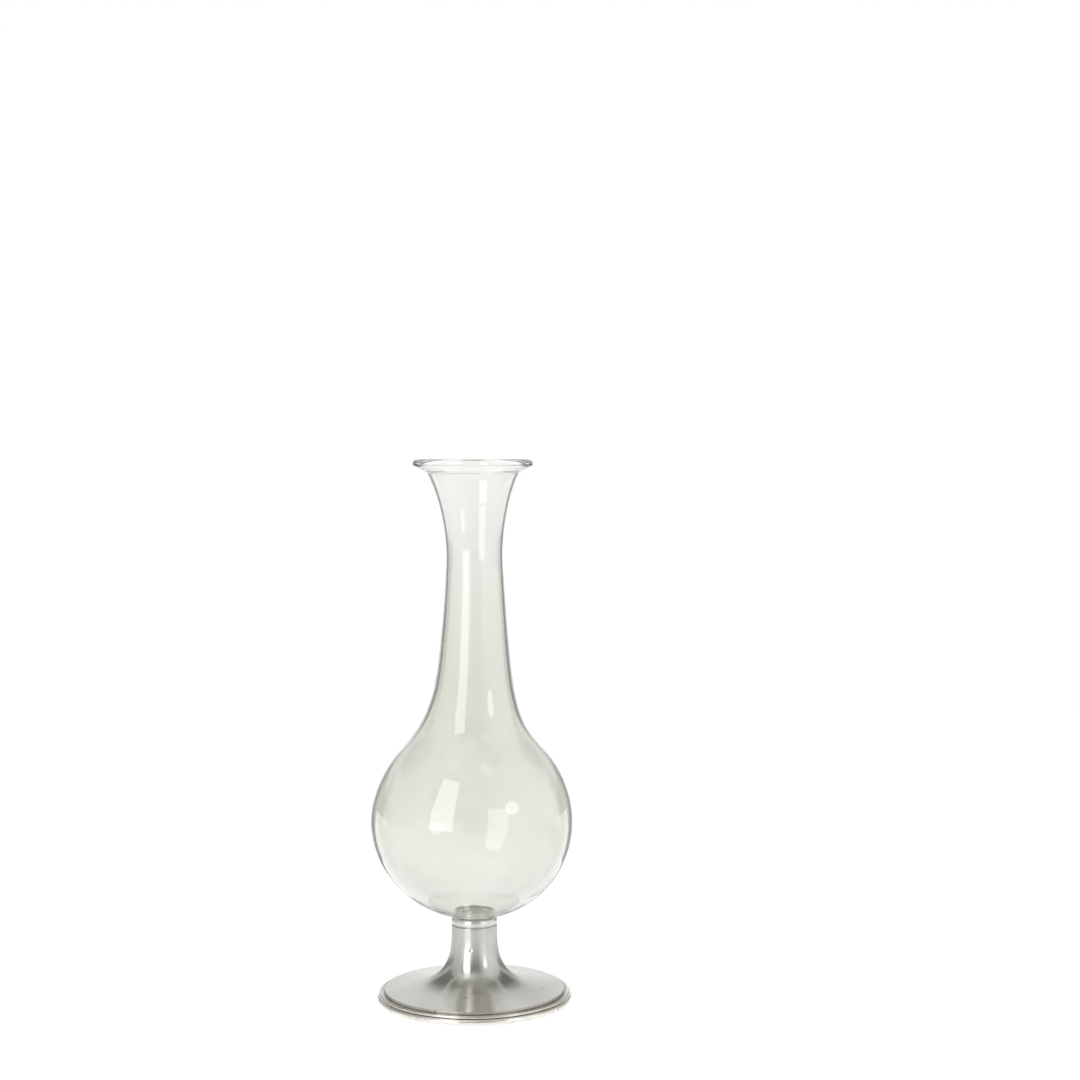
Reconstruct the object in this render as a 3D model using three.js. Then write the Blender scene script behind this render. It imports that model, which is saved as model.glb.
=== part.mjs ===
// Bud vase: a blown-glass bottle with a round bulb and a flared mouth, set on a pewter foot.
// Units are millimetres, +Z is up, and the origin is the centre of the foot's underside.
// Every piece is a solid of revolution about Z, drawn as an outline of radius against height.

import * as THREE from 'three';

const SIDES = 40; // facets around the axis, the same for every piece so that nested walls stay parallel
const JOINT = 0.25; // film of solder or cement, and the gap left at each joint

// ---- Glass: one blown piece ----
const HEIGHT = 220; // floor to the top of the lip
const BULB = { z: 73.6, radius: 41.05, drop: 40.1, rise: 39.05 }; // widest level, its reach down and up
const SHOULDER_START = 0.375; // how far up the bulb's ellipse the shoulder curve leaves it, radians
const THROAT = { radius: 16.25, z: 127.6, lean: 0.21 }; // where the shoulder turns into the neck
const WAIST = { radius: 11.45, z: 180.3 }; // narrowest level of the neck
const FLARE = { radius: 19.5, z: 214.8, slope: 0.657 }; // where the trumpet mouth runs out under the lip
const LIP = { radius: 22.6, roll: 1.7 }; // middle of the rolled lip's round section, and its size
const LIP_ARC = { from: -1.88, to: 2.0 }; // from the crease below the roll, over it, to its inside
const WALL = { bottom: 1.6, bulb: 1.25, throat: 1.5, waist: 0.9, flare: 1.1 };
const PEG = { radius: 5.6, bottom: 28.5, top: 30.5, chamfer: 0.6 }; // solid glass under the bulb
const PEG_ROOT = 8.0; // radius at which the bulb turns down into the peg

// ---- Pewter stem and collar ----
const STEM = { radius: 9.2, top: 30.8, straightTo: 28, wall: 2.0, chamfer: 0.3 };
const SKIRT = { radius: 21.25, z: 8.0, slope: 0.309, under: 6.6 }; // low end of the stem's trumpet
const SOCKET = { radius: 7.0, floor: 26.0, web: 2.5 }; // blind hole that holds the glass peg
// Cement ring in the collar: its height, its radii there, and where it closes in on the glass.
const CEMENT = { seat: 32.0, top: 33.2, outside: 7.5, inside: 6.55, nip: 32.8, nipRadius: 6.27 };
const COLLAR = { bandTop: 32.2, top: 33.8, mouth: 8.2, throat: 31.9, bevelRadius: 8.5 };

// ---- Pewter foot ----
const PLATE = { hole: 17.5, ledge: 21.5, top: 7.95, radius: 36.63, edge: 4.66 };
const PLATE_UNDERSIDE = { hub: 5.1, rim: 2.65 }; // heights at the hole and at the edge
const RING = { inside: 35.4, middle: 38.25, reach: 1.3, height: 2.4 };
const RIDGE = { middle: 38.2, z: 3.1, roll: 0.6, band: 0.3, wrap: 0.8 * Math.PI };

// Smooth curves: how strongly each follows its first and last heading, and its number of facets.
const CURVES = {
  root: { leave: 2.3, arrive: 1.7, steps: 3 },
  shoulder: { leave: 21.5, arrive: 25.8, steps: 9 },
  neck: { leave: 11.2, arrive: 6.7, steps: 3 },
  flare: { leave: 17.4, arrive: 3.1, steps: 7 },
  lipInside: { leave: 1.8, arrive: 1.2, steps: 3 },
  trumpet: { leave: 6.4, arrive: 15.5, steps: 12 },
};
// Facets along each round arc.
const ARC_STEPS = { bulbBelow: 11, bulbAbove: 3, cavity: 9, lip: 8, bevel: 4, ring: 8, ridge: 7 };

const UP = Math.PI / 2;

const glass = new THREE.MeshStandardMaterial({
  color: 0xe4e8de, roughness: 0.05, metalness: 0, transparent: true, opacity: 0.35,
});
const cement = new THREE.MeshStandardMaterial({ color: 0xe3e1da, roughness: 0.7, metalness: 0 });
const pewter = new THREE.MeshStandardMaterial({ color: 0xb9b7b0, roughness: 0.35, metalness: 0.9 });

const at = (radius, z) => new THREE.Vector2(radius, z);
const heading = (angle) => at(Math.cos(angle), Math.sin(angle));

// Arc of an ellipse centred at a radius and a height, turning anticlockwise.
function arc(radius, z, across, up, from, to, steps) {
  return new THREE.EllipseCurve(radius, z, across, up, from, to).getPoints(steps);
}

// Direction in which an ellipse of the given half-axes runs at an angle.
const alongEllipse = (across, up, angle) => Math.atan2(up * Math.cos(angle), -across * Math.sin(angle));

// Smooth curve that leaves `start` and reaches `end` along the given headings.
function sweep(start, startAngle, end, endAngle, { leave, arrive, steps }) {
  return new THREE.CubicBezierCurve(
    start,
    start.clone().addScaledVector(heading(startAngle), leave),
    end.clone().addScaledVector(heading(endAngle), -arrive),
    end,
  ).getPoints(steps);
}

// Joins stretches of outline end to end and leaves out a point that repeats the one before it.
function outline(...stretches) {
  const points = stretches.flat();
  return points.filter((point, i) => i === 0 || point.distanceTo(points[i - 1]) > 1e-4);
}

// A copy of an outline, moved to its left by thickness(point), which may vary along it.
function inset(points, thickness) {
  return points.map((point, i) => {
    const before = points[Math.max(i - 1, 0)];
    const after = points[Math.min(i + 1, points.length - 1)];
    const along = after.clone().sub(before).normalize();
    return point.clone().addScaledVector(at(-along.y, along.x), thickness(point));
  });
}

// A solid of revolution whose outline starts and ends on the axis.
function turned(name, points, material) {
  const geometry = new THREE.LatheGeometry(points, SIDES);
  geometry.rotateX(Math.PI / 2);
  const mesh = new THREE.Mesh(geometry, material);
  mesh.name = name;
  return mesh;
}

// A ring, whose outline comes back to its first point.
const ring = (name, points, material) => turned(name, [...points, points[0].clone()], material);

// Wall thickness of the blown glass: it thins from the throat to the waist and grows at the mouth.
function wallAt(point) {
  const stations = [
    [BULB.z, WALL.bulb], [THROAT.z, WALL.throat], [WAIST.z, WALL.waist], [FLARE.z, WALL.flare],
  ];
  const next = Math.max(1, stations.findIndex(([z]) => z > point.y - JOINT));
  const [lowZ, low] = stations[next - 1];
  const [highZ, high] = stations[next];
  return THREE.MathUtils.mapLinear(point.y, lowZ, highZ, low, high);
}

// Bottle with the solid peg under it.
function glassVessel() {
  const rootAngle = -Math.acos(PEG_ROOT / BULB.radius);
  const bulbBelow = arc(0, BULB.z, BULB.radius, BULB.drop, rootAngle, 0, ARC_STEPS.bulbBelow);
  const bulbAbove = arc(0, BULB.z, BULB.radius, BULB.rise, 0, SHOULDER_START, ARC_STEPS.bulbAbove);

  const throat = at(THROAT.radius, THROAT.z);
  const throatAngle = UP + THROAT.lean;
  const waist = at(WAIST.radius, WAIST.z);
  const mouth = at(FLARE.radius, FLARE.z);
  const shoulderAngle = alongEllipse(BULB.radius, BULB.rise, SHOULDER_START);
  const shoulder = sweep(bulbAbove.at(-1), shoulderAngle, throat, throatAngle, CURVES.shoulder);
  const neck = sweep(throat, throatAngle, waist, UP, CURVES.neck);
  const flare = sweep(waist, UP, mouth, FLARE.slope, CURVES.flare);
  const lip = arc(
    LIP.radius, HEIGHT - LIP.roll, LIP.roll, LIP.roll, LIP_ARC.from, LIP_ARC.to, ARC_STEPS.lip,
  );

  const pegTop = at(PEG.radius, PEG.top);
  const bulbAngle = alongEllipse(BULB.radius, BULB.drop, rootAngle);
  const root = sweep(pegTop, UP, bulbBelow[0], bulbAngle, CURVES.root);
  const peg = [
    at(0, PEG.bottom),
    at(PEG.radius - PEG.chamfer, PEG.bottom),
    at(PEG.radius, PEG.bottom + PEG.chamfer),
    pegTop,
  ];

  const bore = inset(outline(bulbAbove, shoulder, neck, flare), wallAt);
  const cavityDepth = BULB.drop - WALL.bottom;
  const cavity = arc(0, BULB.z, bore[0].x, cavityDepth, -UP, 0, ARC_STEPS.cavity);
  const lipInside = sweep(
    bore.at(-1), FLARE.slope, lip.at(-1), LIP_ARC.to - UP, CURVES.lipInside,
  );
  const inside = outline(cavity, bore, lipInside).reverse();
  return turned('glass_vessel', outline(
    peg, root, bulbBelow, bulbAbove, shoulder, neck, flare, lip, inside,
  ), glass);
}

// White cement around and under the glass peg.
function adhesiveBed() {
  const outer = SOCKET.radius - JOINT;
  const inner = PEG.radius + JOINT;
  return turned('adhesive_bed', [
    at(0, SOCKET.floor + JOINT),
    at(outer, SOCKET.floor + JOINT),
    at(outer, CEMENT.seat),
    at(CEMENT.outside, CEMENT.top),
    at(CEMENT.inside, CEMENT.top),
    at(CEMENT.nipRadius, CEMENT.nip),
    at(inner, PEG.top),
    at(inner, PEG.bottom - JOINT),
    at(0, PEG.bottom - JOINT),
  ], cement);
}

// Ring soldered on the stem; its bevelled mouth carries the bulb.
function collar() {
  const bottom = STEM.top + JOINT;
  const bevel = arc(
    COLLAR.bevelRadius, COLLAR.bandTop,
    STEM.radius - COLLAR.bevelRadius, COLLAR.top - COLLAR.bandTop, 0, UP, ARC_STEPS.bevel,
  );
  return ring('collar', [
    at(SOCKET.radius, bottom),
    at(STEM.radius - STEM.chamfer, bottom),
    at(STEM.radius, bottom + STEM.chamfer),
    ...bevel,
    at(COLLAR.mouth, COLLAR.top),
    at(SOCKET.radius, COLLAR.throat),
  ], pewter);
}

// Hollow trumpet with a socket in its top and a web that closes the socket.
function stem() {
  const trumpet = sweep(
    at(SKIRT.radius, SKIRT.z), Math.PI - SKIRT.slope,
    at(STEM.radius, STEM.straightTo), UP, CURVES.trumpet,
  );
  const webUnder = SOCKET.floor - SOCKET.web;
  const fillet = 0.4; // height left for the corners at both ends of the hollow
  const hollow = inset(trumpet, () => STEM.wall)
    .filter((point) => point.y > SKIRT.under + fillet && point.y < webUnder - fillet)
    .reverse();
  return turned('stem', [
    at(0, webUnder),
    at(hollow[0].x - fillet, webUnder),
    ...hollow,
    at(hollow.at(-1).x + 3 * fillet, SKIRT.under),
    at(SKIRT.radius, SKIRT.under),
    ...trumpet,
    at(STEM.radius, STEM.top - STEM.chamfer),
    at(STEM.radius - STEM.chamfer, STEM.top),
    at(SOCKET.radius, STEM.top),
    at(SOCKET.radius, SOCKET.floor),
    at(0, SOCKET.floor),
  ], pewter);
}

// Shallow cone with a central hole; the stem's skirt stands on the ledge around the hole.
function footPlate() {
  const ledgeZ = SKIRT.under - JOINT;
  return ring('foot_plate', [
    at(PLATE.hole, PLATE_UNDERSIDE.hub),
    at(PLATE.radius, PLATE_UNDERSIDE.rim),
    at(PLATE.radius, PLATE.edge),
    at(PLATE.ledge, PLATE.top),
    at(PLATE.ledge, ledgeZ),
    at(PLATE.hole, ledgeZ),
  ], pewter);
}

// Fine raised bead around the plate, just above the foot ring.
function edgeRidge() {
  const inside = PLATE.radius + JOINT;
  return ring('edge_ridge', [
    at(inside, RIDGE.z - RIDGE.roll),
    ...arc(RIDGE.middle, RIDGE.z, RIDGE.roll, RIDGE.roll, -UP, RIDGE.wrap, ARC_STEPS.ridge),
    at(inside, RIDGE.z + RIDGE.band),
  ], pewter);
}

// Half-round bead that the vase stands on, flat underneath.
function footRing() {
  const half = RING.height / 2;
  return ring('foot_ring', [
    at(RING.inside, 0),
    ...arc(RING.middle, half, RING.reach, half, -UP, UP, ARC_STEPS.ring),
    at(RING.inside, RING.height),
  ], pewter);
}

const vase = new THREE.Group();
vase.add(glassVessel(), adhesiveBed(), collar(), stem(), footPlate(), edgeRidge(), footRing());

export default vase;
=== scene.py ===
"""Glass bud vase on a pewter foot: its fine meshes, materials and studio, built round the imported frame.

Blender works in metres. Outlines are written in millimetres, radius against height, and MM turns them
into metres. Every visible piece is turned about the vase's own upright axis.
"""
import math

import bpy
import numpy as np
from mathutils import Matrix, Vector, noise


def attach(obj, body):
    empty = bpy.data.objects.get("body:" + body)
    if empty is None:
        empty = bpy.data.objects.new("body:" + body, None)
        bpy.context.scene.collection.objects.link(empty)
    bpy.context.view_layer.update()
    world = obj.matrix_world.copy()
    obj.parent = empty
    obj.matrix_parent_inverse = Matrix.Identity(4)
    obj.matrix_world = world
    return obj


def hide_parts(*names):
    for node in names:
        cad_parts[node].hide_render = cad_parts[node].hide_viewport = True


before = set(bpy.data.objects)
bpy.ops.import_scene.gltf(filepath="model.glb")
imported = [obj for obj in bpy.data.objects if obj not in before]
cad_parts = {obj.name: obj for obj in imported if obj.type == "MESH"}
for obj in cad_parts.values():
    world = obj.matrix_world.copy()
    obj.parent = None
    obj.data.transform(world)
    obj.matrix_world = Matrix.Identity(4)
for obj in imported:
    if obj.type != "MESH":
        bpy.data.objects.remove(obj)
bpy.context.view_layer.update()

MM = 0.001
UP = math.pi / 2
BODY = "root"

# ---- Glass, as in the CAD (mm) ----
HEIGHT = 220.0
BULB_Z, BULB_RADIUS, BULB_DROP, BULB_RISE = 73.6, 41.05, 40.1, 39.05
SHOULDER_START = 0.375
THROAT, THROAT_LEAN = (16.25, 127.6), 0.21
WAIST = (11.45, 180.3)
FLARE, FLARE_SLOPE = (19.5, 214.8), 0.657
LIP_RADIUS, LIP_ROLL = 22.6, 1.7
LIP_FROM, LIP_TO = -1.88, 2.0
WALL = {"bottom": 1.6, "bulb": 1.25, "throat": 1.5, "waist": 0.9, "flare": 1.1}
PEG_RADIUS, PEG_BOTTOM, PEG_TOP, PEG_ROOT = 5.6, 28.5, 30.5, 8.0

# ---- Pewter, as in the CAD (mm) ----
STEM_RADIUS, STEM_TOP, STEM_STRAIGHT_TO, STEM_WALL = 9.2, 30.8, 28.0, 2.0
SKIRT, SKIRT_SLOPE = (21.25, 8.0), 0.309
SOCKET_RADIUS, SOCKET_FLOOR, SOCKET_WEB = 7.0, 26.0, 2.5
COLLAR_FOOT, COLLAR_BAND_TOP, COLLAR_TOP = 31.05, 32.2, 33.8
COLLAR_MOUTH, COLLAR_BEVEL, COLLAR_THROAT = 8.2, 8.5, 31.9
GAP = 0.25
CEMENT_SEAT, CEMENT_TOP, CEMENT_OUTSIDE, CEMENT_INSIDE, CEMENT_NIP = 32.0, 33.2, 7.5, 6.55, (6.27, 32.8)
SOLDER_Z, GROOVE_DEPTH = STEM_TOP + 0.03, 0.4  # solder fills the gap above the stem, but for its edge
PLATE_HOLE, PLATE_LEDGE, PLATE_TOP, LEDGE_Z = 17.5, 21.3, 7.98, 6.35
PLATE_RADIUS, PLATE_EDGE, PLATE_RIM_UNDER, PLATE_HUB_UNDER = 36.63, 4.66, 2.65, 5.1
RING_INSIDE, RING_MIDDLE, RING_REACH, RING_HEIGHT = 35.4, 38.25, 1.3, 2.4
RIDGE_MIDDLE, RIDGE_Z, RIDGE_ROLL, RIDGE_BAND, RIDGE_INSIDE = 38.2, 3.1, 0.6, 0.3, 36.75

# ---- Lean of the blown glass to the side and to the back: shift, height, spread (mm) ----
LEAN_X = ((-1.0, 74, 27), (0.3, 165, 32), (-0.45, 222, 18), (-0.55, 110, 14))
LEAN_Y = ((0.35, 88, 30), (-0.25, 222, 22))

# ---- Dents in the stem: bearing from the front (degrees), height, reach, depth (mm) ----
STEM_DENTS = ((-9, 22.0, 0.55, 0.14), (17, 27.6, 0.40, 0.12), (16, 30.0, 0.35, 0.10), (-3, 30.2, 0.5, 0.08),
              (74, 14.5, 0.6, 0.10), (151, 24.0, 0.7, 0.12), (-122, 18.0, 0.5, 0.10), (-64, 12.6, 0.5, 0.08))

# ---- Colours (linear) ----
PEWTER_BRIGHT = (0.605, 0.598, 0.568, 1.0)
PEWTER_DULL = (0.520, 0.508, 0.464, 1.0)
# Tarnish for the pits; in the grooves the same colour is also painted shade.
TARNISH_AND_PAINTED_SHADE = (0.17, 0.15, 0.12, 1.0)
GRIME = (0.60, 0.52, 0.38, 1.0)
WHITE = (1.0, 1.0, 1.0, 1.0)
# Glass tints: a faint green, and painted shade that greys what shows through.
GLASS_PALE = (0.950, 0.953, 0.935, 1.0)
GLASS_DEEP = (0.850, 0.855, 0.808, 1.0)
CEMENT_LIGHT = (0.93, 0.92, 0.90, 1.0)
CEMENT_GREY = (0.87, 0.86, 0.83, 1.0)

# ---- How bright the room is at each bearing: at table level, above it, high up and at its top ----
# 0 is the camera, 180 the backdrop, + is to the right.
ROOM = (
    (-180, 1.0, 1.0, 1.0, 1.0), (-166, 1.0, 1.0, 1.0, 1.0), (-162, 0.8, 0.6, 0.24, 0.26),
    (-157, 0.30, 0.6, 0.25, 0.25), (-150, 0.24, 0.6, 0.23, 0.23), (-109, 0.24, 0.6, 0.24, 0.24),
    (-102, 0.62, 0.6, 0.50, 0.60), (-66, 0.80, 0.74, 0.70, 0.95), (-54, 1.25, 0.6, 0.5, 0.95),
    (-16, 1.10, 0.5, 0.3, 0.95), (-6, 0.5, 0.4, 0.3, 0.95), (18, 0.5, 0.4, 0.3, 0.75),
    (34, 1.15, 0.7, 0.6, 0.75), (74, 1.10, 0.95, 0.9, 0.75), (112, 0.85, 0.85, 0.7, 0.6),
    (122, 0.24, 0.6, 0.21, 0.21), (150, 0.24, 0.6, 0.20, 0.20), (157, 0.30, 0.6, 0.22, 0.22),
    (162, 0.8, 0.6, 0.24, 0.26), (166, 1.0, 1.0, 1.0, 1.0), (180, 1.0, 1.0, 1.0, 1.0))
CARD_ON_TABLE = {"from": 138, "to": 159, "inside": 0.16}  # bearings on both sides, and metres from the vase
ROOM_BLENDS = ((0.25, 0.40), (0.62, 0.85), (1.5, 2.9))  # metres over which one level turns into the next
ROOM_RADIUS = 1.5
ROOM_HEIGHT = 2.9
FLOOR_RADIUS, FLOOR_Z = 3.0, -0.0002
TABLE_WHITE = (0.93, 0.93, 0.925, 1.0)
WINDOW_BEARING = -34.5

# ---- Camera, in heights of the vase and degrees ----
CAMERA_DISTANCE = 3.52
CAMERA_EYE = 0.996
CAMERA_PITCH = 2.35
CAMERA_YAW = 1.98
CAMERA_LENS = 63.8


# ---------------------------------------------------------------- outlines
def arc(radius, z, across, up, start, end, steps):
    turn = np.linspace(start, end, steps + 1)
    return np.stack([radius + across * np.cos(turn), z + up * np.sin(turn)], axis=1)


def line(start, end, steps=1):
    share = np.linspace(0, 1, steps + 1)[:, None]
    return (1 - share) * np.array(start, float) + share * np.array(end, float)


def sweep(start, start_angle, leave, end, end_angle, arrive, steps):
    """Smooth curve that leaves start and reaches end along the given headings."""
    start, end = np.array(start, float), np.array(end, float)
    first = start + leave * np.array([math.cos(start_angle), math.sin(start_angle)])
    last = end - arrive * np.array([math.cos(end_angle), math.sin(end_angle)])
    t = np.linspace(0, 1, steps + 1)[:, None]
    near, far = 3 * t * (1 - t) ** 2 * first, 3 * t**2 * (1 - t) * last
    return (1 - t) ** 3 * start + near + far + t**3 * end


def along_ellipse(across, up, angle):
    return math.atan2(up * math.cos(angle), -across * math.sin(angle))


def joined(*stretches):
    """One outline from stretches that follow on, without the points they share."""
    points = np.concatenate([np.atleast_2d(s) for s in stretches])
    keep = np.ones(len(points), bool)
    keep[1:] = np.hypot(*np.diff(points, axis=0).T) > 1e-4
    return points[keep]


def inset(points, thickness):
    """A copy of an outline, moved to its left by thickness, a number or one for each point."""
    along = np.gradient(points, axis=0)
    along /= np.hypot(*along.T)[:, None]
    left = np.stack([-along[:, 1], along[:, 0]], axis=1)
    return points + left * np.broadcast_to(thickness, len(points))[:, None]


def rounded(corners, step):
    """An outline through corners (radius, z, rounding), with long edges cut into steps."""
    pieces = []
    for i, (r, z, size) in enumerate(corners):
        corner = np.array([r, z], float)
        if size == 0 or i in (0, len(corners) - 1):
            pieces.append(corner[None])
            continue
        before, after = (np.array(corners[i + k][:2], float) for k in (-1, 1))
        back, forth = before - corner, after - corner
        cut_back = min(size, 0.45 * np.hypot(*back))
        cut_forth = min(size, 0.45 * np.hypot(*forth))
        enter = corner + back / np.hypot(*back) * cut_back
        leave = corner + forth / np.hypot(*forth) * cut_forth
        t = np.linspace(0, 1, 5)[:, None]
        pieces.append((1 - t) ** 2 * enter + 2 * t * (1 - t) * corner + t**2 * leave)
    return subdivided(joined(*pieces), step)


def subdivided(points, step):
    """The same outline with no edge longer than step."""
    cut = [line(a, b, max(1, math.ceil(np.hypot(*(b - a)) / step)))
           for a, b in zip(points[:-1], points[1:])]
    return joined(*cut)


# ---------------------------------------------------------------- meshes
def turned(name, outline, segments, displace=None):
    """A closed solid of revolution. displace takes its points, in mm, and gives them back moved."""
    closed_ring = np.allclose(outline[0], outline[-1])
    if closed_ring:
        outline = outline[:-1]
    angle = np.linspace(0, 2 * math.pi, segments, endpoint=False)
    verts, rings = [], []
    for radius, z in outline:
        if radius < 1e-6:
            rings.append([len(verts)])
            verts.append((0, 0, z))
            continue
        rings.append(range(len(verts), len(verts) + segments))
        verts += [(radius * math.cos(a), radius * math.sin(a), z) for a in angle]
    if displace:
        verts = displace(np.array(verts, float))
    verts = np.array(verts, float) * MM

    faces = []
    pairs = list(zip(rings[:-1], rings[1:]))
    if closed_ring:
        pairs.append((rings[-1], rings[0]))
    for low, high in pairs:
        for i in range(segments):
            j = (i + 1) % segments
            if len(low) == 1:
                faces.append((low[0], high[j], high[i]))
            elif len(high) == 1:
                faces.append((low[i], low[j], high[0]))
            else:
                faces.append((low[i], low[j], high[j], high[i]))
    mesh = bpy.data.meshes.new(name)
    mesh.from_pydata(verts.tolist(), [], faces)
    mesh.shade_smooth()
    mesh.set_sharp_from_angle(angle=math.radians(32))
    piece = bpy.data.objects.new(name, mesh)
    bpy.context.collection.objects.link(piece)
    return piece


def finish_piece(piece, node, material):
    piece.data.materials.append(material)
    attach(piece, BODY)
    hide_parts(node)
    return piece


# ---------------------------------------------------------------- node helpers
class Nodes:
    """Short calls for building one node tree."""

    def __init__(self, tree):
        self.tree = tree
        tree.nodes.clear()

    def add(self, kind, **inputs):
        node = self.tree.nodes.new("ShaderNode" + kind)
        for name, value in inputs.items():
            self.put(node, name, value)
        return node

    def put(self, node, name, value):
        if isinstance(value, bpy.types.NodeSocket):
            self.tree.links.new(value, node.inputs[name])
        elif name in node.inputs:
            node.inputs[name].default_value = value
        else:
            setattr(node, name, value)

    def finish(self, shader, kind="OutputMaterial"):
        self.add(kind, Surface=shader.outputs[0])

    def math(self, operation, *values):
        node = self.tree.nodes.new("ShaderNodeMath")
        node.operation = operation
        for i, value in enumerate(values):
            if isinstance(value, bpy.types.NodeSocket):
                self.tree.links.new(value, node.inputs[i])
            else:
                node.inputs[i].default_value = value
        return node.outputs[0]

    def reach(self, x, y):
        return self.math("SQRT", self.math("ADD", self.math("MULTIPLY", x, x), self.math("MULTIPLY", y, y)))

    def remap(self, value, low, high, to_low=0.0, to_high=1.0, smooth=True):
        node = self.tree.nodes.new("ShaderNodeMapRange")
        node.interpolation_type = "SMOOTHSTEP" if smooth else "LINEAR"
        for name, number in (("From Min", low), ("From Max", high), ("To Min", to_low), ("To Max", to_high)):
            node.inputs[name].default_value = number
        self.tree.links.new(value, node.inputs["Value"])
        return node.outputs[0]

    def mix(self, factor, first, second):
        node = self.tree.nodes.new("ShaderNodeMix")
        node.data_type = "RGBA"
        for slot, value in ((0, factor), (6, first), (7, second)):
            if isinstance(value, bpy.types.NodeSocket):
                self.tree.links.new(value, node.inputs[slot])
            else:
                node.inputs[slot].default_value = value
        return node.outputs[2]

    def noise(self, vector, scale, detail=2.0, roughness=0.5):
        node = self.tree.nodes.new("ShaderNodeTexNoise")
        self.tree.links.new(vector, node.inputs["Vector"])
        for name, number in (("Scale", scale), ("Detail", detail), ("Roughness", roughness)):
            node.inputs[name].default_value = number
        return node.outputs[0]

    def between(self, value, low, high, soft):
        """1 where value, in metres, lies between low and high, in mm, fading over soft."""
        rise = self.remap(value, (low - soft) * MM, (low + soft) * MM)
        fall = self.remap(value, (high - soft) * MM, (high + soft) * MM, 1.0, 0.0)
        return self.math("MULTIPLY", rise, fall)

    def scattered(self, vector, scale, share, core, edge):
        """Round spots in the random cells that lie above share."""
        cells = self.add("TexVoronoi", Vector=vector, Scale=scale)
        tone = self.add("SeparateColor", Color=cells.outputs["Color"]).outputs[0]
        spot = self.remap(cells.outputs["Distance"], core, edge, 1.0, 0.0)
        return self.math("MULTIPLY", spot, self.remap(tone, share, share + 0.04))

    def stretched(self, vector, scale):
        node = self.tree.nodes.new("ShaderNodeMapping")
        node.inputs["Scale"].default_value = scale
        self.tree.links.new(vector, node.inputs["Vector"])
        return node.outputs[0]

    def bump(self, height, strength, distance, normal=None):
        node = self.tree.nodes.new("ShaderNodeBump")
        node.inputs["Strength"].default_value = strength
        node.inputs["Distance"].default_value = distance
        self.tree.links.new(height, node.inputs["Height"])
        if normal:
            self.tree.links.new(normal, node.inputs["Normal"])
        return node.outputs[0]


def new_material(name):
    material = bpy.data.materials.new(name)
    material.use_nodes = True
    return material, Nodes(material.node_tree)


# ---------------------------------------------------------------- materials
def glass_material():
    """Clear soda glass, tinted a faint warm green and greyed with painted shade that deepens down to the
    bulb, with ripples of blowing.
    """
    material, n = new_material("clear_glass")
    where = n.add("TexCoord").outputs["Object"]
    height = n.add("SeparateXYZ", Vector=where).outputs[2]
    ripples = n.noise(n.stretched(where, (1.0, 1.0, 0.25)), 90.0, 1.0)
    wipe = n.noise(n.stretched(where, (1.0, 1.0, 0.5)), 45.0, 3.0)
    pale = n.remap(height, 130 * MM, 222 * MM, 0.0, 0.9)
    pale = n.math("ADD", pale, n.remap(height, 45 * MM, 85 * MM, 0.35, 0.0))
    pale = n.math("ADD", pale, n.remap(wipe, 0.3, 0.7, 0.0, 0.15))
    # The tint is partly the glass's faint green and partly painted shade that greys all seen through it, most
    # around the bulb.
    tint = n.mix(pale, GLASS_DEEP, GLASS_PALE)
    surface = n.add("BsdfPrincipled", **{"Base Color": tint, "IOR": 1.5, "Transmission Weight": 1.0})
    n.put(surface, "Roughness", n.remap(wipe, 0.55, 0.8, 0.0, 0.02))
    n.put(surface, "Normal", n.bump(ripples, 0.12, 0.0004))
    n.finish(surface)
    return material


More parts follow.
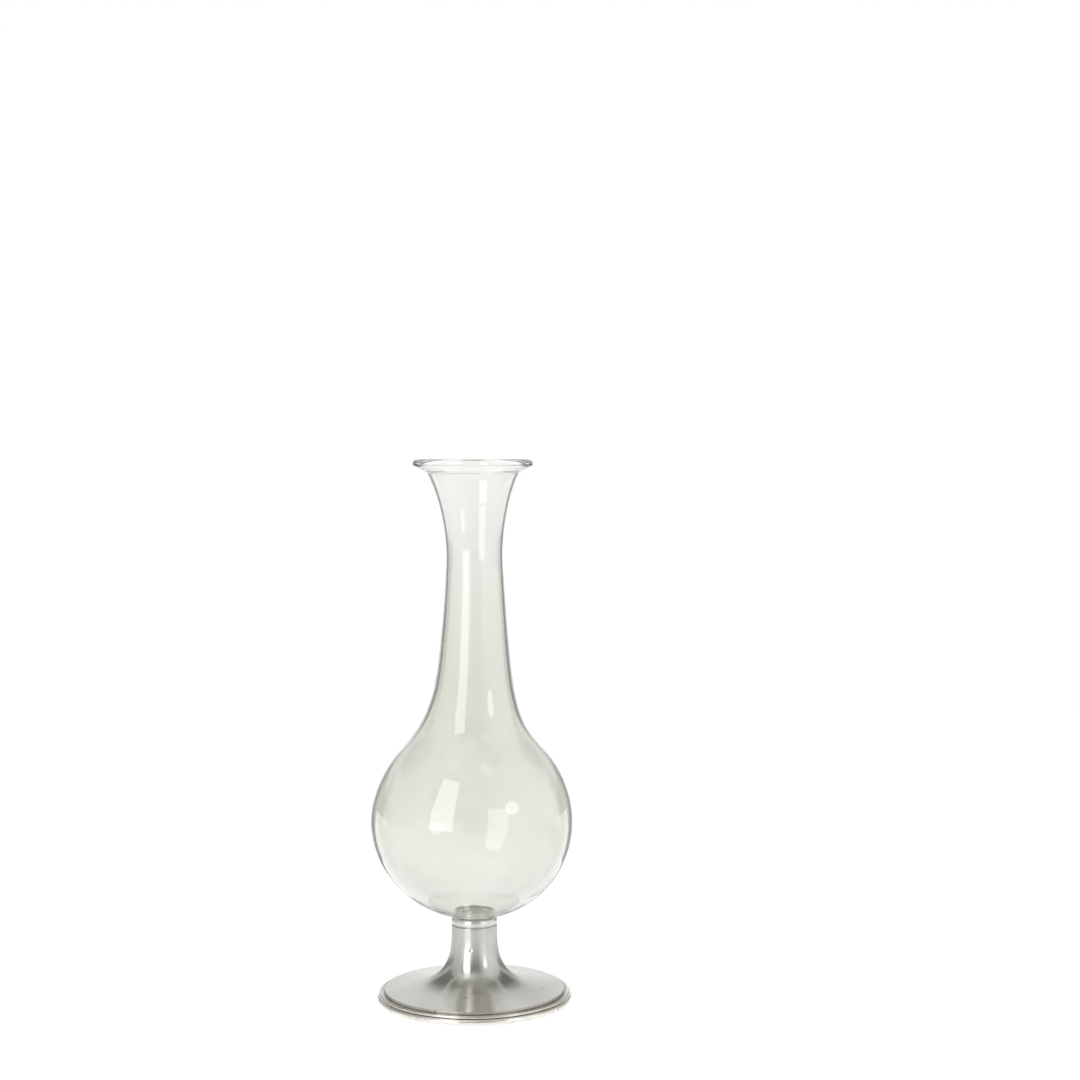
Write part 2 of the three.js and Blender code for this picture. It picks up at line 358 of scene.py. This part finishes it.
def pewter_material(name, grooves, rough=(0.16, 0.22), grain=0.85, turning=0.012, grime=0.0, tone=1.0,
                    drawn=0.0):
    """Satin pewter turned on a lathe: fine lines, rubbed patches, pits, and tarnish with painted shade in the
    grooves.

    A band of tarnish and painted shade is (least radius, greatest radius, least height, greatest height,
    softness, strength), in mm.
    tone scales the colour of the whole piece: painted brightness, or dullness, for the light the piece
    mirrors. drawn roughens it upwards, where the file ran along it, and dulls its foot to match the plate.
    """
    # tone: painted brightness or dullness over the whole piece's colour.
    bright, dull = ([min(c * tone, 1.0) for c in shade[:3]] + [1.0] for shade in (PEWTER_BRIGHT, PEWTER_DULL))
    material, n = new_material(name)
    where = n.add("TexCoord").outputs["Object"]
    x, y, z = n.add("SeparateXYZ", Vector=where).outputs
    radius = n.reach(x, y)

    clouds = n.noise(where, 55.0, 3.0, 0.5)
    mottle = n.noise(where, 420.0, 3.0, 0.6)
    smear = n.noise(n.stretched(where, (1.0, 1.0, 2.5)), 160.0, 3.0, 0.6)
    swirl = n.add("CombineXYZ", X=n.math("MULTIPLY", radius, 9.0), Y=n.math("MULTIPLY", z, 9.0),
                  Z=n.math("MULTIPLY", x, 0.35))
    lines = n.noise(swirl.outputs[0], 420.0, 3.0, 0.7)
    pit = n.scattered(where, 330.0, 0.90, 0.08, 0.24)
    speck = n.scattered(where, 900.0, 0.70, 0.15, 0.35)

    colour = n.mix(n.remap(clouds, 0.35, 0.7, 0.0, 0.6), bright, dull)
    colour = n.mix(n.remap(mottle, 0.5, 0.8, 0.0, 0.25), colour, dull)
    if drawn:
        colour = n.mix(n.remap(z, 6 * MM, 14 * MM, 0.9, 0.0), colour, dull)
    if grime:
        colour = n.mix(n.remap(smear, 0.48, 0.68, 0.0, grime), colour, GRIME)
    colour = n.mix(n.math("MULTIPLY", pit, 0.55), colour, TARNISH_AND_PAINTED_SHADE)
    # Bands of tarnish and painted shade: darker where the metal lies in shadow or mirrors dark surroundings,
    # as in the cove, under the ridge and at the joints.
    for r_low, r_high, z_low, z_high, soft, strength in grooves:
        deep = n.math("MULTIPLY", n.between(radius, r_low, r_high, soft), n.between(z, z_low, z_high, soft))
        left = n.remap(smear, 0.35, 0.65, strength, 0.55 * strength)
        left = n.math("SUBTRACT", left, n.math("MULTIPLY", speck, 0.4 * strength))
        colour = n.mix(n.math("MULTIPLY", deep, left), colour, TARNISH_AND_PAINTED_SHADE)

    finish = n.remap(clouds, 0.3, 0.75, *rough)
    finish = n.math("ADD", finish, n.remap(mottle, 0.3, 0.7, -0.015, 0.02))
    if drawn:
        finish = n.math("ADD", finish, n.remap(z, 12 * MM, 24 * MM, 0.0, drawn))

    normal = n.bump(lines, turning, 0.00006)
    normal = n.bump(pit, 0.6, 0.00012, normal)
    normal = n.bump(clouds, 0.05, 0.0008, normal)

    round_axis = n.tree.nodes.new("ShaderNodeTangent")
    round_axis.direction_type, round_axis.axis = "RADIAL", "Z"
    surface = n.add("BsdfPrincipled", **{
        "Metallic": 1.0, "Base Color": colour, "Roughness": finish, "Normal": normal,
        "Anisotropic": grain, "Anisotropic Rotation": 0.25, "Tangent": round_axis.outputs[0]})
    n.finish(surface)
    return material


def cement_material():
    """Fine white cement, a little uneven and chalky."""
    material, n = new_material("white_cement")
    where = n.add("TexCoord").outputs["Object"]
    cloud = n.noise(where, 350.0, 4.0, 0.6)
    grit = n.noise(where, 1600.0, 2.0)
    surface = n.add("BsdfPrincipled", **{
        "Base Color": n.mix(n.remap(cloud, 0.3, 0.7), CEMENT_GREY, CEMENT_LIGHT),
        "Roughness": n.remap(cloud, 0.3, 0.7, 0.65, 0.85), "Normal": n.bump(grit, 0.4, 0.0001)})
    n.finish(surface)
    return material


# ---------------------------------------------------------------- glass
def glass_wall(z):
    """Wall thickness at a height: thin at the waist, thicker at the throat and the mouth."""
    levels = [BULB_Z, THROAT[1], WAIST[1], FLARE[1]]
    return np.interp(z, levels, [WALL["bulb"], WALL["throat"], WALL["waist"], WALL["flare"]])


def root_level():
    return -math.acos(PEG_ROOT / BULB_RADIUS)


def glass_root():
    """The curve from the top of the peg out onto the underside of the bulb."""
    angle = root_level()
    end = (PEG_ROOT, BULB_Z + BULB_DROP * math.sin(angle))
    return sweep((PEG_RADIUS, PEG_TOP), UP, 2.3, end, along_ellipse(BULB_RADIUS, BULB_DROP, angle), 1.7, 24)


def glass_outline():
    below = arc(0, BULB_Z, BULB_RADIUS, BULB_DROP, root_level(), 0, 60)
    above = arc(0, BULB_Z, BULB_RADIUS, BULB_RISE, 0, SHOULDER_START, 16)
    throat_angle = UP + THROAT_LEAN
    shoulder_angle = along_ellipse(BULB_RADIUS, BULB_RISE, SHOULDER_START)
    shoulder = sweep(above[-1], shoulder_angle, 21.5, THROAT, throat_angle, 25.8, 50)
    neck = sweep(THROAT, throat_angle, 11.2, WAIST, UP, 6.7, 40)
    flare = sweep(WAIST, UP, 17.4, FLARE, FLARE_SLOPE, 3.1, 44)
    lip = arc(LIP_RADIUS, HEIGHT - LIP_ROLL, LIP_ROLL, LIP_ROLL, LIP_FROM, LIP_TO, 30)

    peg = rounded([(0, PEG_BOTTOM, 0), (PEG_RADIUS, PEG_BOTTOM, 0.8), (PEG_RADIUS, PEG_TOP, 0)], 1.5)

    outside = joined(above, shoulder, neck, flare)
    bore = inset(outside, glass_wall(outside[:, 1]))
    bore[0] = BULB_RADIUS - WALL["bulb"], BULB_Z
    cavity = arc(0, BULB_Z, bore[0][0], BULB_DROP - WALL["bottom"], -UP, 0, 60)
    lip_inside = sweep(bore[-1], FLARE_SLOPE, 1.8, lip[-1], LIP_TO - UP, 1.2, 12)
    inside = joined(cavity, bore, lip_inside)[::-1]
    outline = joined(peg, glass_root(), below, above, shoulder, neck, flare, lip, inside)
    outline[-1][0] = 0
    return outline


def hand_blown(verts):
    """The slight lean and uneven roundness of a vessel shaped by hand."""
    x, y, z = verts.T
    lean_x, lean_y = (sum(shift * np.exp(-((z - level) / spread) ** 2) for shift, level, spread in lean)
                      for lean in (LEAN_X, LEAN_Y))
    free = np.clip((z - 34) / 12, 0, 1)
    angle = np.arctan2(y, x)
    oval = 1 + free * (0.003 * np.cos(2 * angle + 0.02 * z) + 0.0015 * np.cos(3 * angle + 1.0))
    return np.stack([x * oval + lean_x * free, y * oval + lean_y * free, z], axis=1)


def make_glass():
    piece = turned("glass_vessel_fine", glass_outline(), 192, hand_blown)
    return finish_piece(piece, "glass_vessel", glass_material())


def make_cement():
    """The bed that holds the glass: a floor under the peg and a ring that fills the collar's mouth."""
    outside, inside = SOCKET_RADIUS - GAP, PEG_RADIUS + GAP
    low, seat = SOCKET_FLOOR + GAP, PEG_BOTTOM - GAP
    outline = rounded([
        (0, low, 0), (outside, low, 0.3), (outside, CEMENT_SEAT, 0.2),
        (CEMENT_OUTSIDE, CEMENT_TOP, 0.15), (CEMENT_INSIDE, CEMENT_TOP, 0.1), (*CEMENT_NIP, 0.1),
        (inside, PEG_TOP, 0.3), (inside, seat, 0.4), (0, seat, 0)], 0.4)
    piece = turned("adhesive_bed_fine", outline, 192, worn(0.03, 67.0, 0.5))
    return finish_piece(piece, "adhesive_bed", cement_material())


# ---------------------------------------------------------------- pewter
def worn(amount, seed, fineness=0.12, dents=()):
    """Gives a displace call: hand-finished pewter is never quite true.

    A dent is (bearing in degrees from the front, height, reach, depth), in mm.
    """
    def displace(verts):
        moved = []
        for x, y, z in verts:
            reach = math.hypot(x, y)
            if reach < 1e-6:
                moved.append((x, y, z))
                continue
            here = Vector((x * fineness + seed, y * fineness, z * fineness))
            push = amount * noise.noise(here) + 0.35 * amount * noise.noise(here * 3.1)
            for bearing, height, width, depth in dents:
                turn = math.radians(bearing)
                away = Vector((x - reach * math.sin(turn), y + reach * math.cos(turn), z - height)).length
                push -= depth * math.exp(-((away / width) ** 2))
            moved.append((x * (1 + push / reach), y * (1 + push / reach), z + 0.5 * push))
        return np.array(moved)
    return displace


def make_collar(material):
    bevel = arc(COLLAR_BEVEL, COLLAR_BAND_TOP, STEM_RADIUS - COLLAR_BEVEL,
                COLLAR_TOP - COLLAR_BAND_TOP, 0, UP, 10)
    outline = joined(
        rounded([(SOCKET_RADIUS, COLLAR_THROAT, 0), (SOCKET_RADIUS, SOLDER_Z, 0),
                 (STEM_RADIUS - GROOVE_DEPTH - 0.02, SOLDER_Z, 0),
                 (STEM_RADIUS - GROOVE_DEPTH, COLLAR_FOOT, 0),
                 (STEM_RADIUS - 0.1, COLLAR_FOOT + 0.1, 0.15),
                 (STEM_RADIUS, COLLAR_FOOT + 0.4, 0.2), (STEM_RADIUS, COLLAR_BAND_TOP, 0)], 0.4),
        bevel, line((COLLAR_MOUTH, COLLAR_TOP), (SOCKET_RADIUS, COLLAR_THROAT), 5))
    piece = turned("collar_fine", outline, 256, worn(0.02, 3.0))
    return finish_piece(piece, "collar", material)


def make_stem(material):
    trumpet = sweep(SKIRT, math.pi - SKIRT_SLOPE, 6.4, (STEM_RADIUS, STEM_STRAIGHT_TO), UP, 15.5, 90)
    web_under = SOCKET_FLOOR - SOCKET_WEB
    hollow = inset(trumpet, STEM_WALL)
    hollow = hollow[(hollow[:, 1] > 7.0) & (hollow[:, 1] < web_under - 0.4)][::-1]
    top = rounded([(STEM_RADIUS, STEM_STRAIGHT_TO, 0), (STEM_RADIUS, STEM_TOP - 0.3, 0.2),
                   (STEM_RADIUS - 0.3, STEM_TOP, 0.2), (SOCKET_RADIUS, STEM_TOP, 0.3),
                   (SOCKET_RADIUS, SOCKET_FLOOR, 0.5), (0, SOCKET_FLOOR, 0)], 0.5)
    feather = (SKIRT[0] + 0.35, SKIRT[1] - 0.35 * math.tan(SKIRT_SLOPE) + 0.015)
    outline = joined(
        (0, web_under), subdivided(np.array([(0.0, web_under), (hollow[0][0] - 0.4, web_under)]), 1.0),
        hollow, (hollow[-1][0] + 1.2, SKIRT[1] - 1.4), (SKIRT[0] - 0.3, SKIRT[1] - 1.4),
        (SKIRT[0] - 0.3, SKIRT[1] - 0.3), feather, trumpet, top)
    piece = turned("stem_fine", outline, 256, worn(0.04, 11.0, dents=STEM_DENTS))
    return finish_piece(piece, "stem", material)


def make_plate(material):
    face = sweep((PLATE_RADIUS - 0.25, PLATE_EDGE), math.pi - 0.14, 5.0,
                 (PLATE_LEDGE, PLATE_TOP), math.pi - SKIRT_SLOPE, 4.0, 24)
    outline = joined(
        rounded([(PLATE_HOLE, LEDGE_Z, 0), (PLATE_HOLE, PLATE_HUB_UNDER, 0.4),
                 (PLATE_RADIUS, PLATE_RIM_UNDER, 0.2), (PLATE_RADIUS, PLATE_EDGE - 0.2, 0)], 0.9),
        arc(PLATE_RADIUS - 0.25, PLATE_EDGE - 0.2, 0.25, 0.2, 0, UP, 4),
        face, (PLATE_LEDGE, LEDGE_Z), (PLATE_HOLE, LEDGE_Z))
    piece = turned("foot_plate_fine", outline, 384, worn(0.03, 23.0))
    return finish_piece(piece, "foot_plate", material)


def make_ridge(material):
    outline = joined(
        (RIDGE_INSIDE, RIDGE_Z + RIDGE_BAND), (RIDGE_INSIDE, RIDGE_Z - RIDGE_ROLL),
        arc(RIDGE_MIDDLE, RIDGE_Z, RIDGE_ROLL, RIDGE_ROLL, -UP, 0.8 * math.pi, 20),
        (RIDGE_INSIDE, RIDGE_Z + RIDGE_BAND))
    piece = turned("edge_ridge_fine", outline, 384, worn(0.02, 37.0, 0.2))
    return finish_piece(piece, "edge_ridge", material)


def make_ring(material):
    half = RING_HEIGHT / 2
    outline = joined(
        (RING_INSIDE, RING_HEIGHT), (RING_INSIDE, 0),
        arc(RING_MIDDLE, half, RING_REACH, half, -UP, UP, 28), (RING_INSIDE, RING_HEIGHT))
    wear = worn(0.03, 51.0, 0.2)

    def displace(verts):
        moved = wear(verts)
        moved[:, 2] = np.maximum(moved[:, 2], 0)
        return moved
    piece = turned("foot_ring_fine", outline, 384, displace)
    return finish_piece(piece, "foot_ring", material)


# ---------------------------------------------------------------- studio
def make_camera():
    height = HEIGHT * MM
    data = bpy.data.cameras.new("camera")
    data.lens, data.sensor_width = CAMERA_LENS, 36.0
    data.clip_start, data.clip_end = 0.01, 50.0
    camera = bpy.data.objects.new("camera", data)
    camera.location = (0, -CAMERA_DISTANCE * height, CAMERA_EYE * height)
    camera.rotation_euler = (math.radians(90 - CAMERA_PITCH), 0, math.radians(-CAMERA_YAW))
    bpy.context.collection.objects.link(camera)
    bpy.context.scene.camera = camera


def make_floor():
    """A broad round white table that fades into the white round it."""
    bpy.ops.mesh.primitive_circle_add(
        vertices=128, radius=FLOOR_RADIUS, fill_type="NGON", location=(0, 0, FLOOR_Z))
    floor = bpy.context.object
    floor.name = "floor"
    material, n = new_material("white_table")
    x, y, _ = n.add("SeparateXYZ", Vector=n.add("TexCoord").outputs["Object"]).outputs
    radius = n.reach(x, y)
    paper = n.add("BsdfPrincipled", **{"Base Color": TABLE_WHITE, "Roughness": 0.8})
    glow = n.add("Emission", Color=WHITE, Strength=n.remap(radius, 0.25, 1.2, 1.08, 1.0))
    mix = n.add("MixShader", Fac=n.remap(radius, 0.03, 0.20, 0.74, 1.0))
    n.tree.links.new(paper.outputs[0], mix.inputs[1])
    n.tree.links.new(glow.outputs[0], mix.inputs[2])
    n.finish(mix)
    material.cycles.emission_sampling = "NONE"
    floor.data.materials.append(material)


def tones(n, position, level):
    """A ramp of the room's brightness round the vase. level is the column of ROOM."""
    ramp = n.tree.nodes.new("ShaderNodeValToRGB")
    while len(ramp.color_ramp.elements) < len(ROOM):
        ramp.color_ramp.elements.new(0.5)
    for element, row in zip(ramp.color_ramp.elements, ROOM):
        element.position = row[0] / 360 + 0.5
        element.color = (row[level], row[level], row[level], 1.0)
    n.tree.links.new(position, ramp.inputs[0])
    return ramp.outputs[0]


def mirrored(name, verts, faces, material):
    """A stage piece that the camera doesn't see directly."""
    mesh = bpy.data.meshes.new(name)
    mesh.from_pydata(verts, [], faces)
    mesh.materials.append(material)
    piece = bpy.data.objects.new(name, mesh)
    piece.visible_camera = False
    bpy.context.collection.objects.link(piece)
    return piece


def room_material():
    material, n = new_material("room_tones")
    x, y, z = n.add("SeparateXYZ", Vector=n.add("TexCoord").outputs["Object"]).outputs
    bearing = n.math("DEGREES", n.math("ARCTAN2", x, n.math("MULTIPLY", y, -1.0)))
    position = n.math("ADD", n.math("DIVIDE", bearing, 360.0), 0.5)
    tone = tones(n, position, 1)
    for level, (start, end) in enumerate(ROOM_BLENDS, start=2):
        tone = n.mix(n.remap(z, start, end), tone, tones(n, position, level))
    # The tones show to light mirrored once. Straight through the glass, or mirrored again, all is white.
    depth = n.add("LightPath").outputs["Glossy Depth"]
    fading = n.remap(depth, 1.0, 2.0, 1.0, 0.0, smooth=False)
    tone = n.mix(n.math("MULTIPLY", n.math("GREATER_THAN", depth, 0.5), fading), WHITE, tone)
    glow = n.add("Emission", Color=tone, Strength=1.0)
    n.finish(glow)
    material.cycles.emission_sampling = "NONE"
    return material


def make_room():
    """A round screen behind the lights that the glass and the metal mirror: white behind the vase,
    a dark card to each side of that, and a grey room round the camera. Two more dark cards lie on
    the table."""
    material = room_material()
    turn = [2 * math.pi * i / 120 for i in range(120)]
    circle = [(ROOM_RADIUS * math.cos(a), ROOM_RADIUS * math.sin(a)) for a in turn]
    verts = [(x, y, z) for z in (0, ROOM_HEIGHT) for x, y in circle]
    mirrored("room", verts, [(i, (i + 1) % 120, 120 + (i + 1) % 120, 120 + i) for i in range(120)], material)

    for name, side in (("table_card_left", -1), ("table_card_right", 1)):
        verts = []
        for bearing in np.linspace(CARD_ON_TABLE["from"], CARD_ON_TABLE["to"], 8):
            a = math.radians(side * bearing)
            verts += [(r * math.sin(a), -r * math.cos(a), MM) for r in (CARD_ON_TABLE["inside"], ROOM_RADIUS)]
        card = mirrored(name, verts, [(i, i + 1, i + 3, i + 2) for i in range(0, 14, 2)], material)
        card.visible_diffuse = card.visible_shadow = False


def make_world():
    """Even white, and overhead a ceiling that is bright on the window's side and greyer away from it."""
    world = bpy.data.worlds.new("studio")
    world.use_nodes = True
    n = Nodes(world.node_tree)
    x, y, z = n.add("SeparateXYZ", Vector=n.add("TexCoord").outputs["Generated"]).outputs
    turn = math.radians(WINDOW_BEARING)
    towards = n.math("ADD", n.math("MULTIPLY", x, math.sin(turn)), n.math("MULTIPLY", y, -math.cos(turn)))
    ceiling = n.mix(n.remap(towards, 0.05, 0.45), (0.55, 0.55, 0.55, 1.0), (1.2, 1.2, 1.2, 1.0))
    sky = n.mix(n.remap(z, 0.78, 0.88), WHITE, ceiling)
    background = n.add("Background", Color=sky, Strength=1.0)
    n.finish(background, "OutputWorld")
    world.cycles.sampling_method = "NONE"
    bpy.context.scene.world = world


def softbox(name, shape, bearing, distance, z, width, height, radiance):
    """An upright light that faces the vase. bearing is in degrees to the right of the camera."""
    data = bpy.data.lights.new(name, "AREA")
    data.shape, data.size, data.size_y = shape, width, height
    area = width * height if shape == "RECTANGLE" else math.pi / 4 * width * height
    data.energy = radiance * math.pi * area
    light = bpy.data.objects.new(name, data)
    turn = math.radians(bearing)
    light.location = (distance * math.sin(turn), -distance * math.cos(turn), z)
    light.rotation_euler = (math.pi / 2, 0, turn)
    light.visible_camera = False
    bpy.context.collection.objects.link(light)


def make_studio():
    make_camera()
    make_floor()
    make_room()
    make_world()
    softbox("window", "RECTANGLE", WINDOW_BEARING, 1.25, 0.78, 0.60, 1.50, 2.2)
    softbox("lamp", "ELLIPSE", 48, 1.35, 0.60, 0.40, 0.40, 2.4)
    scene = bpy.context.scene
    scene.view_settings.view_transform = "Standard"
    scene.view_settings.look = "None"
    # Enough bounces to see through the four surfaces of the glass and the mirrors behind it.
    scene.cycles.max_bounces, scene.cycles.transmission_bounces, scene.cycles.glossy_bounces = 32, 32, 16


make_studio()
make_glass()
make_cement()
# The bands given below are tarnish with painted shade: at the collar's joint, the plate's edge, the cove, the
# ridge's underside and the bead's top.
make_collar(pewter_material("pewter_collar", [(0, 12, 30.3, 31.3, 0.10, 0.2)], (0.20, 0.26), tone=1.25))
make_stem(pewter_material("pewter_stem", [(0, 12, 30.65, 31.3, 0.08, 0.25)], tone=1.05, drawn=0.14))
plate_grooves = [(36.55, 37.5, 2.0, 4.45, 0.10, 0.6)]
make_plate(pewter_material("pewter_plate", plate_grooves, (0.16, 0.22), 0.3, 0.01, tone=0.94))
ridge_grooves = [(36.0, 37.7, 2.0, 4.0, 0.12, 0.6), (36.0, 39.5, 2.0, 2.8, 0.12, 0.5)]
make_ridge(pewter_material("pewter_ridge", ridge_grooves, (0.2, 0.26), grime=0.5, tone=1.2))
ring_grooves = [(35.0, 38.7, 2.0, 2.6, 0.15, 0.5)]
# The ring's high tone is painted brightness for the bright floor and window light its bead mirrors.
make_ring(pewter_material("pewter_ring", ring_grooves, (0.2, 0.26), grime=0.45, tone=1.6))
